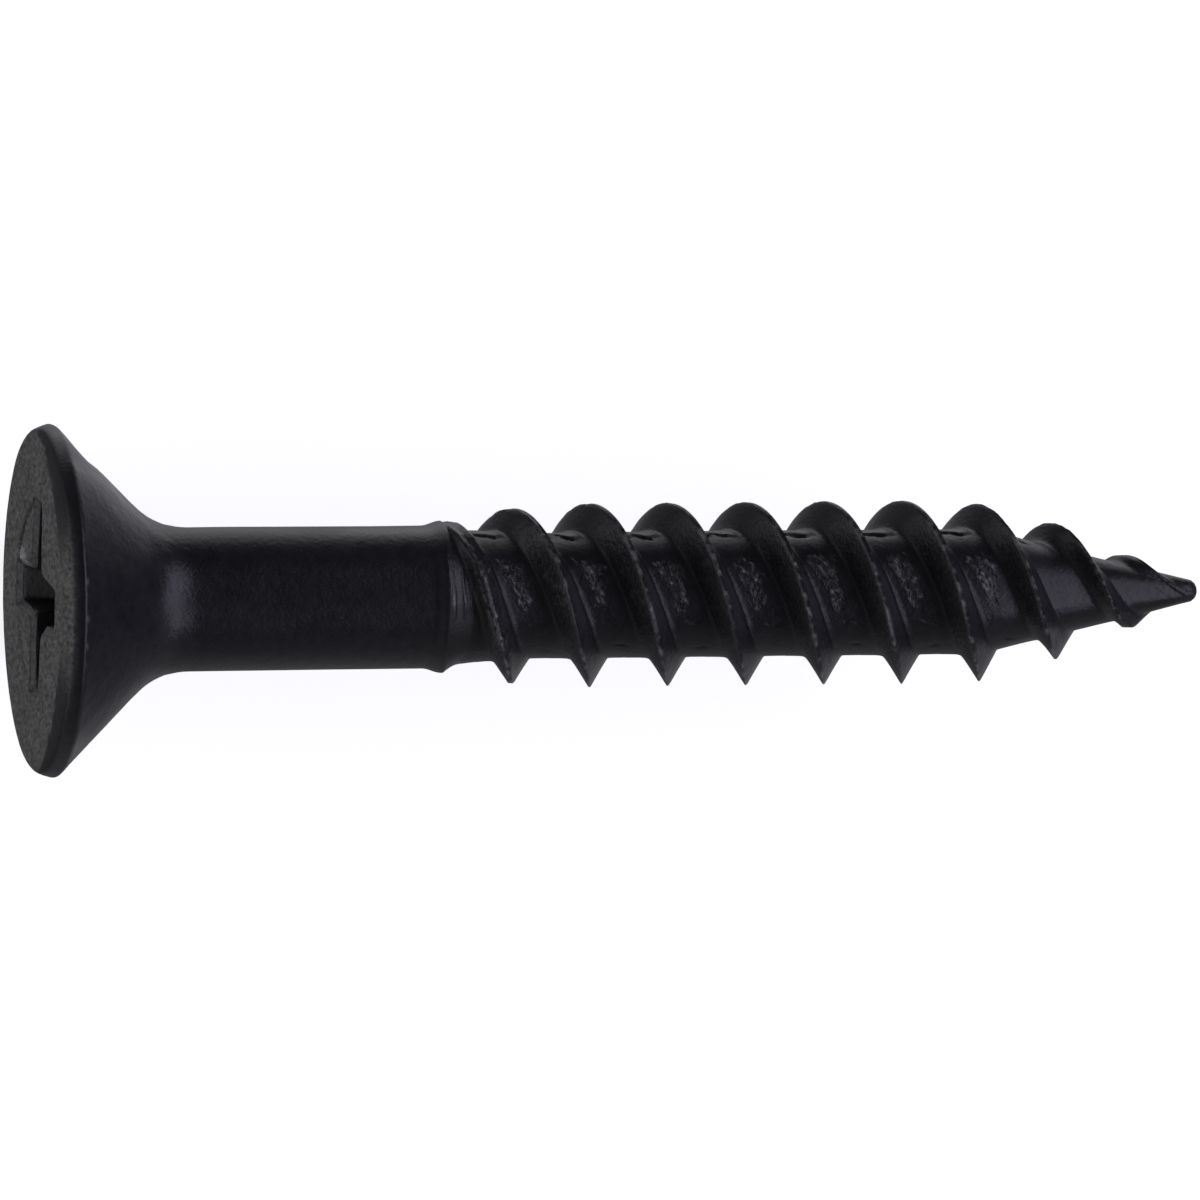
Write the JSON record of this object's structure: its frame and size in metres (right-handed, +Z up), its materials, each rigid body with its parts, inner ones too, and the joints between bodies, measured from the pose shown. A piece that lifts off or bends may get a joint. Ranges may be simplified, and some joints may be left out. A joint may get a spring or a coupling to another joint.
{
  "type": "countersunk wood screw",
  "caption": "Countersunk wood screw with a cross recess, a plain upper shank with a rolled collar, a coarse twin-start thread and a blunt gimlet point, in blackened steel.",
  "frame": {"origin": "on the screw's axis, half way between the flat of the head and the end of the point; the flat is at X = -15.7 mm and the point at X = +15.7 mm", "axes": "+X along the axis from the head to the point, which is the way the screw is driven; -X is the outward normal of the head's flat; +Z is up as the screw lies on its side, and +Y completes the frame; a thread crest crosses the +Y side 0.05 mm past the flat plus any whole pitch of 2.117 mm"},
  "size_m": [0.0314, 0.0094, 0.0094],
  "materials": {
    "blackened_steel": "satin to matt black oxide or phosphate film on steel, greyer where the head's flat was upset, with small torn laps and bright scuffs along the rolled thread"
  },
  "bodies": {
    "root": {"screw": "blackened_steel"}
  },
  "joints": []
}
